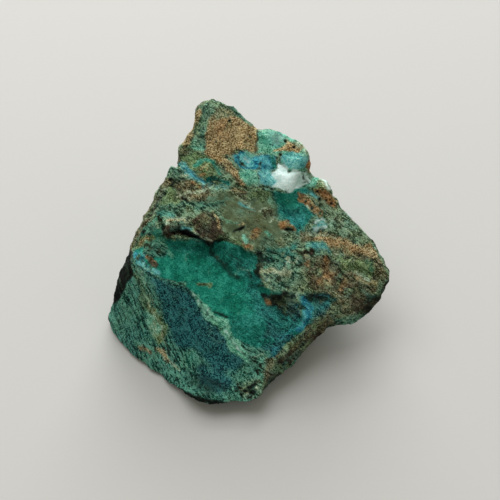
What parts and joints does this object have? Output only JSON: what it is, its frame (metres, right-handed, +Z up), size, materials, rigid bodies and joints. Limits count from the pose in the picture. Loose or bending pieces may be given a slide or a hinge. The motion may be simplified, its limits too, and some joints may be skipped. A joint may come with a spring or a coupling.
{
  "type": "chrysocolla specimen",
  "caption": "Rough blue-green and brown natural stone with broken faces, a peaked knob and an overhanging lobe, made to stand on its flat broken foot as a display specimen.",
  "frame": {"origin": "centre of the bounding box at the height of the flat foot", "axes": "+Z up from the foot, +X towards the overhanging lobe on the right-hand side, -Y towards the front with the fibrous wall"},
  "size_m": [0.066, 0.0628, 0.0417],
  "materials": {
    "chrysocolla": "dull to waxy broken rock, mottled in blue-green, emerald, turquoise, rust brown and tan"
  },
  "bodies": {
    "root": {"chrysocolla_stone": "chrysocolla"}
  },
  "joints": []
}
